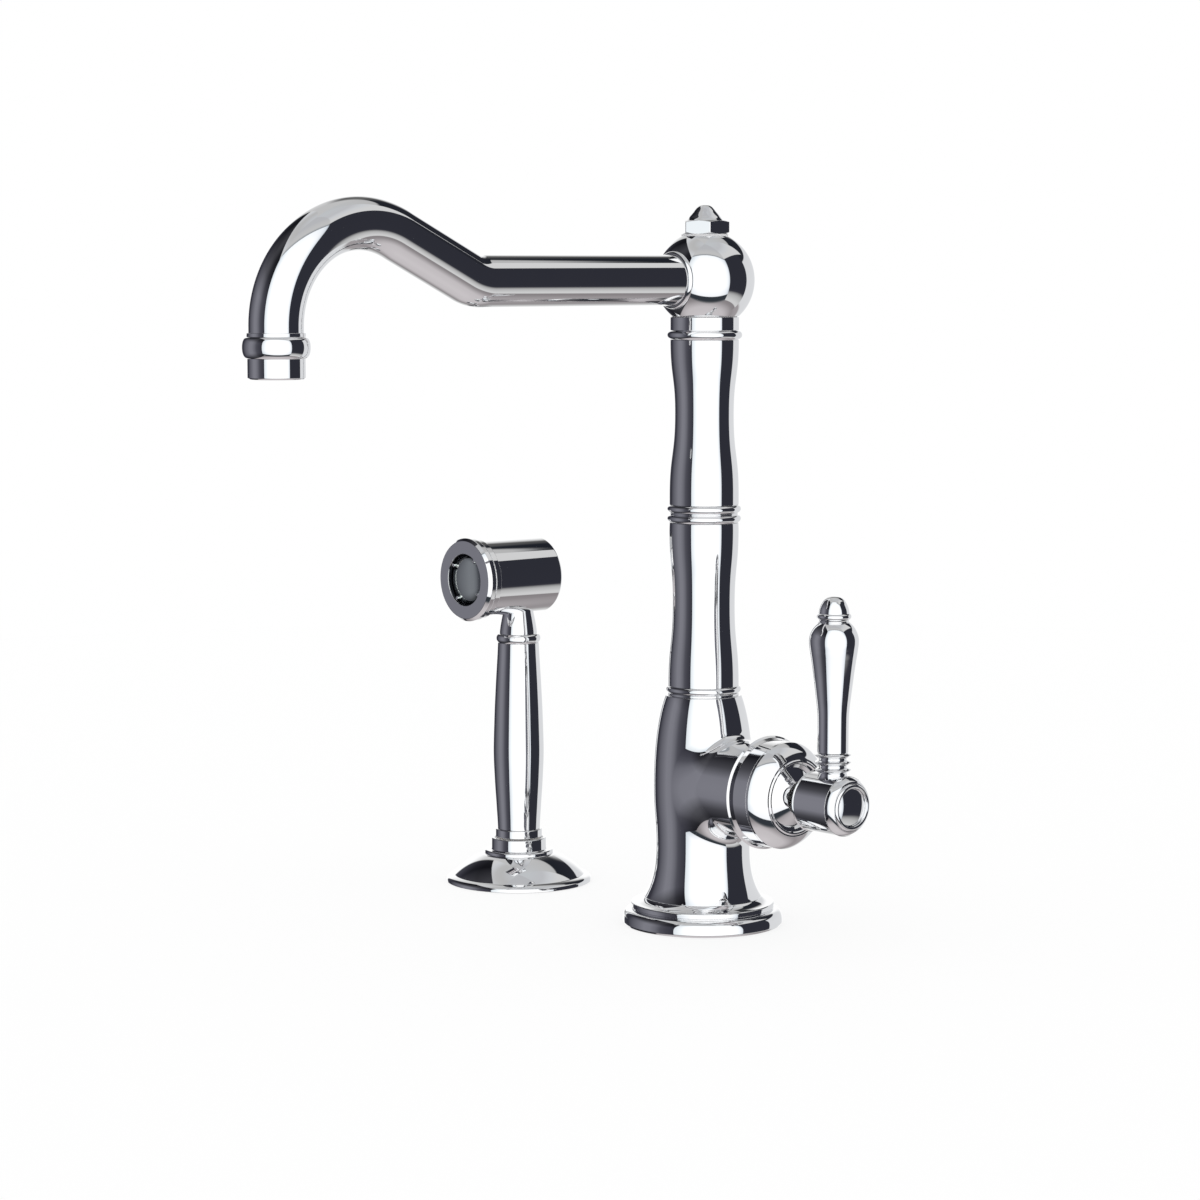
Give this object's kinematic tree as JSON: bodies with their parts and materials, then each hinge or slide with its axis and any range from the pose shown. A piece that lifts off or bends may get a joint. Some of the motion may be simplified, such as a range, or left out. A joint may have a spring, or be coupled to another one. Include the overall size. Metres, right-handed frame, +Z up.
{
  "type": "side spray kitchen faucet",
  "caption": "Traditional polished chrome kitchen faucet: turned column, ball-top swivel spout with an arched end, side lever valve and a separate side spray on its own stand.",
  "frame": {"origin": "centre of the faucet's base on the deck, at the mouth of the fixing stud's hole", "axes": "+Z up; the spout points to -Y; the lever valve lies along +X; the side spray stands at -X"},
  "size_m": [0.2622, 0.2788, 0.3227],
  "materials": {
    "chrome": "polished chrome plate on turned brass",
    "brass": "machined brass, unplated, out of sight",
    "steel": "bright stainless steel",
    "rubber": "black moulded seal rubber",
    "nylon": "pale moulded acetal",
    "ceramic": "lapped alumina ceramic",
    "former": "grey moulded flow former",
    "spray_face": "dark grey-green smooth plastic"
  },
  "bodies": {
    "faucet": {"base_gasket": "rubber", "base_flange": "chrome", "inlet_block": "brass", "valve_body": "chrome", "diverter_valve": "brass", "body_ring": "chrome", "lower_column": "chrome", "mid_ring": "chrome", "upper_column": "chrome", "top_collar": "chrome", "riser_tube": "brass", "swivel_stem": "brass", "stem_orings": "rubber", "swivel_washer_lower": "nylon", "swivel_washer_upper": "nylon", "finial_nut": "chrome", "cartridge_seals": "rubber", "cartridge_base": "nylon", "cartridge_shell": "nylon", "ceramic_disc_fixed": "ceramic", "cartridge_nut": "brass", "bonnet_ring": "chrome", "bonnet_dome": "chrome", "spray_gasket": "rubber", "spray_escutcheon": "chrome", "spray_holder": "chrome", "spray_holder_bush": "nylon"},
    "spout": {"ball_body": "chrome", "spout_collar": "chrome", "spout_tube": "chrome", "spout_nozzle": "chrome", "aerator_housing": "chrome", "aerator_insert": "former", "aerator_washer": "rubber"},
    "spindle": {"cartridge_spindle": "nylon", "spindle_pin": "steel"},
    "mixing_disc": {"ceramic_disc_moving": "ceramic", "disc_carrier": "nylon"},
    "lever": {"lever_stem": "steel", "lever_hub": "chrome", "hub_screw": "steel", "hub_cap": "chrome", "hub_button": "chrome", "lever_neck": "chrome", "lever_grip": "chrome", "lever_finial": "chrome"},
    "hose_swivel": {"tail_cone": "brass"},
    "handset": {"handset_collar": "chrome", "handset_grip": "chrome", "handset_ring": "chrome", "handset_neck": "chrome", "handset_head": "chrome", "face_ring": "chrome", "spray_insert": "spray_face", "spray_valve_seat": "nylon", "button_guide": "nylon"},
    "button": {"spray_button": "chrome", "spray_plunger": "nylon", "spray_spring": "steel"}
  },
  "joints": [
    {"name": "spout_swivel", "type": "hinge", "parent": "faucet", "child": "spout", "pos_m": [0, 0, 0.2882], "axis": [0, 0, 1], "continuous": true},
    {"name": "lever_turn", "type": "hinge", "parent": "faucet", "child": "spindle", "pos_m": [0.05, 0, 0.0647], "axis": [1, 0, 0], "range_deg": [-45, 45]},
    {"name": "lever_tilt", "type": "hinge", "parent": "spindle", "child": "lever", "pos_m": [0.05, 0, 0.0647], "axis": [0, 1, 0], "range_deg": [0, 18]},
    {"name": "disc_slide", "type": "slide", "parent": "spindle", "child": "mixing_disc", "axis": [0, 0, 1], "range_m": [0, 0.0046]},
    {"name": "handset_lift", "type": "slide", "parent": "faucet", "child": "hose_swivel", "axis": [0, 0, 1], "range_m": [0, 0.25]},
    {"name": "handset_turn", "type": "hinge", "parent": "hose_swivel", "child": "handset", "pos_m": [-0.1316, 0, 0.03], "axis": [0, 0, 1], "continuous": true},
    {"name": "button_press", "type": "slide", "parent": "handset", "child": "button", "axis": [0, -1, 0], "range_m": [0, 0.0035], "stiffness_N_per_m": 900, "springref_m": -0.004, "deforming": ["spray_spring"]}
  ],
  "couplings": [
    {"joint": "disc_slide", "follows": "lever_tilt", "m_per_rad": 0.014558}
  ]
}
